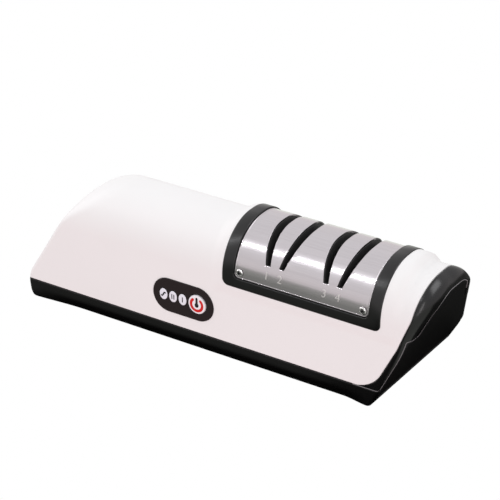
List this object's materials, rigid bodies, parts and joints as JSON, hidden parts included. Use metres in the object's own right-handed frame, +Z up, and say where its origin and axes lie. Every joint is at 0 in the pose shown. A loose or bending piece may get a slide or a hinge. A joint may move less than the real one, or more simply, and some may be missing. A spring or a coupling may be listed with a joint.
{
  "type": "electric knife sharpener",
  "caption": "Long low electric knife sharpener: white housing on a black base, arched brushed-steel plate with slanted blade slots, a front button panel and a pull-out swarf drawer.",
  "frame": {"origin": "centre of the bounding box at the surface that the feet stand on", "axes": "+X along the length towards the swarf drawer, +Y to the back, +Z up"},
  "size_m": [0.226, 0.0832, 0.0714],
  "materials": {
    "white_housing": "smooth white moulded plastic",
    "black_base": "satin black moulded plastic",
    "black_rim": "glossy black plastic",
    "black_matt": "matt dark plastic",
    "black_frame": "satin black plastic",
    "plate_steel": "brushed along the length",
    "screw_steel": "bright zinc",
    "panel_plastic": "dark brown-black gloss",
    "button_white": "white button with a red ring mark",
    "window_clear": "milky light windows",
    "board_green": "solder-resist green",
    "switch_black": "moulded",
    "shaft_steel": "ground steel",
    "motor_steel": "plated steel",
    "bronze_bush": "sintered bronze",
    "fine_abrasive": "fine bonded grit",
    "coarse_abrasive": "coarse bonded grit",
    "magnet_grey": "ferrite",
    "winding_copper": "enamelled copper",
    "black_rubber": "soft rubber",
    "lead_red": "insulated lead"
  },
  "bodies": {
    "housing": {"upper_shell": "white_housing", "base_shell": "black_base", "end_bezel": "black_rim", "plate_frame": "black_frame", "steel_plate": "plate_steel", "plate_screw_1": "screw_steel", "plate_screw_2": "screw_steel", "slot_guide": "black_frame", "control_panel": "panel_plastic", "mode_window_1": "window_clear", "mode_window_2": "window_clear", "mode_window_3": "window_clear", "button_switch": "switch_black", "control_board": "board_green", "board_screw_1": "screw_steel", "board_screw_2": "screw_steel", "mode_led_1": "window_clear", "mode_led_2": "window_clear", "mode_led_3": "window_clear", "bulkhead_left": "black_matt", "bulkhead_right": "black_matt", "bearing_left": "bronze_bush", "bearing_right": "bronze_bush", "motor_can": "motor_steel", "motor_end_cap": "black_matt", "motor_magnet_1": "magnet_grey", "motor_magnet_2": "magnet_grey", "motor_cradle": "black_matt", "motor_strap": "shaft_steel", "strap_screw_1": "screw_steel", "strap_screw_2": "screw_steel", "cord_gland": "black_rubber", "rubber_foot_1": "black_rubber", "rubber_foot_2": "black_rubber", "rubber_foot_3": "black_rubber", "rubber_foot_4": "black_rubber", "base_screw_1": "screw_steel", "base_screw_2": "screw_steel", "base_screw_3": "screw_steel", "base_screw_4": "screw_steel", "motor_lead": "lead_red", "supply_lead": "lead_red"},
    "rotor": {"spindle": "shaft_steel", "wheel_fine_left": "fine_abrasive", "wheel_fine_right": "fine_abrasive", "wheel_coarse_left": "coarse_abrasive", "wheel_coarse_right": "coarse_abrasive", "wheel_spacer_1": "shaft_steel", "wheel_spacer_2": "shaft_steel", "wheel_spacer_3": "shaft_steel", "shaft_nut": "shaft_steel", "shaft_coupling": "black_rubber", "motor_shaft": "shaft_steel", "rotor_core": "winding_copper"},
    "button": {"power_button": "button_white", "switch_plunger": "switch_black"},
    "drawer": {"swarf_drawer": "black_matt", "drawer_magnet": "magnet_grey"}
  },
  "joints": [
    {"name": "spindle_spin", "type": "hinge", "parent": "housing", "child": "rotor", "pos_m": [0.045, -0.011, 0.036], "axis": [1, 0, 0], "continuous": true},
    {"name": "power_button_press", "type": "slide", "parent": "housing", "child": "button", "axis": [0, 1, 0], "range_m": [0, 0.0008], "stiffness_N_per_m": 400},
    {"name": "drawer_slide", "type": "slide", "parent": "housing", "child": "drawer", "axis": [1, 0, 0], "range_m": [0, 0.065]}
  ]
}
